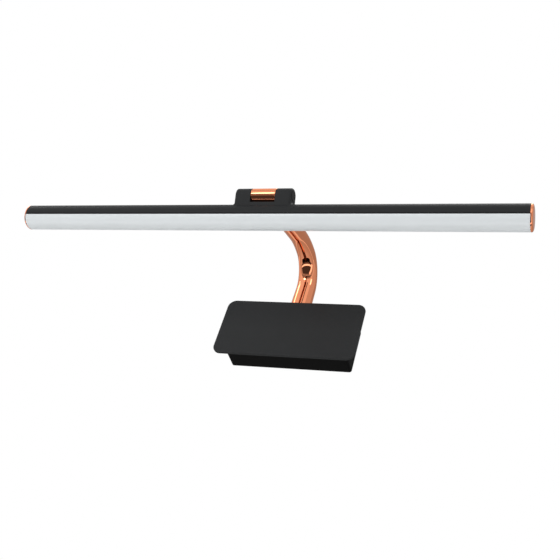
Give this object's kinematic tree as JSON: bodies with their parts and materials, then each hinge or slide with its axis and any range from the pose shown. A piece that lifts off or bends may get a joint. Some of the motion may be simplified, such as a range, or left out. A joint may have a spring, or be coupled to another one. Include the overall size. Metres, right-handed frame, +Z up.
{
  "type": "picture light",
  "caption": "Wall-mounted LED picture light: slim round lamp bar tilting on a tapered swan-neck arm that rises from a shallow rectangular wall box.",
  "frame": {"origin": "centre of the wall box face that meets the wall", "axes": "+Z up, +X along the lamp bar, -Y out from the wall into the room"},
  "size_m": [0.511, 0.1834, 0.1382],
  "materials": {
    "satin_black": "satin black powder coat",
    "coated_aluminium": "satin black powder coat",
    "copper_plate": "polished copper plating",
    "opal_plastic": "opal extruded polycarbonate",
    "zinc_steel": "bright zinc plated steel",
    "black_screw": "black zinc plated steel",
    "bright_brass": "turned brass",
    "white_case": "moulded white plastic",
    "clear_nylon": "moulded natural nylon",
    "black_rubber": "moulded rubber",
    "black_cap": "moulded black plastic",
    "board_mask": "white solder mask on aluminium",
    "chip_phosphor": "phosphor filled silicone in a white frame",
    "lead_sheath": "white lead sheath",
    "fibre_washer": "pressed fibre"
  },
  "bodies": {
    "wall_unit": {"base_tray": "satin_black", "front_cover": "satin_black", "cover_tabs": "zinc_steel", "cover_screws": "black_screw", "led_driver": "white_case", "driver_screws": "zinc_steel", "terminal_block": "clear_nylon", "terminal_screw": "zinc_steel", "earth_screw": "bright_brass", "inlet_grommet": "black_rubber", "link_lead": "lead_sheath", "arm": "copper_plate", "arm_foot": "bright_brass", "arm_nipple": "zinc_steel", "arm_washer": "zinc_steel", "arm_nut": "zinc_steel", "arm_lead": "lead_sheath", "hinge_barrel": "copper_plate", "pivot_tube": "zinc_steel", "pivot_nuts": "zinc_steel", "friction_washers": "fibre_washer"},
    "lamp_head": {"lamp_bracket": "coated_aluminium", "bracket_screws": "zinc_steel", "ear_plugs": "black_cap", "lamp_lead": "lead_sheath", "lamp_housing": "coated_aluminium", "diffuser": "opal_plastic", "led_board": "board_mask", "led_chips": "chip_phosphor", "board_screws": "zinc_steel", "left_end_cap": "copper_plate", "right_end_cap": "copper_plate"}
  },
  "joints": [
    {"name": "lamp_tilt", "type": "hinge", "parent": "wall_unit", "child": "lamp_head", "pos_m": [0, -0.17591, 0.04801], "axis": [1, 0, 0], "range_deg": [-150, 15]}
  ]
}
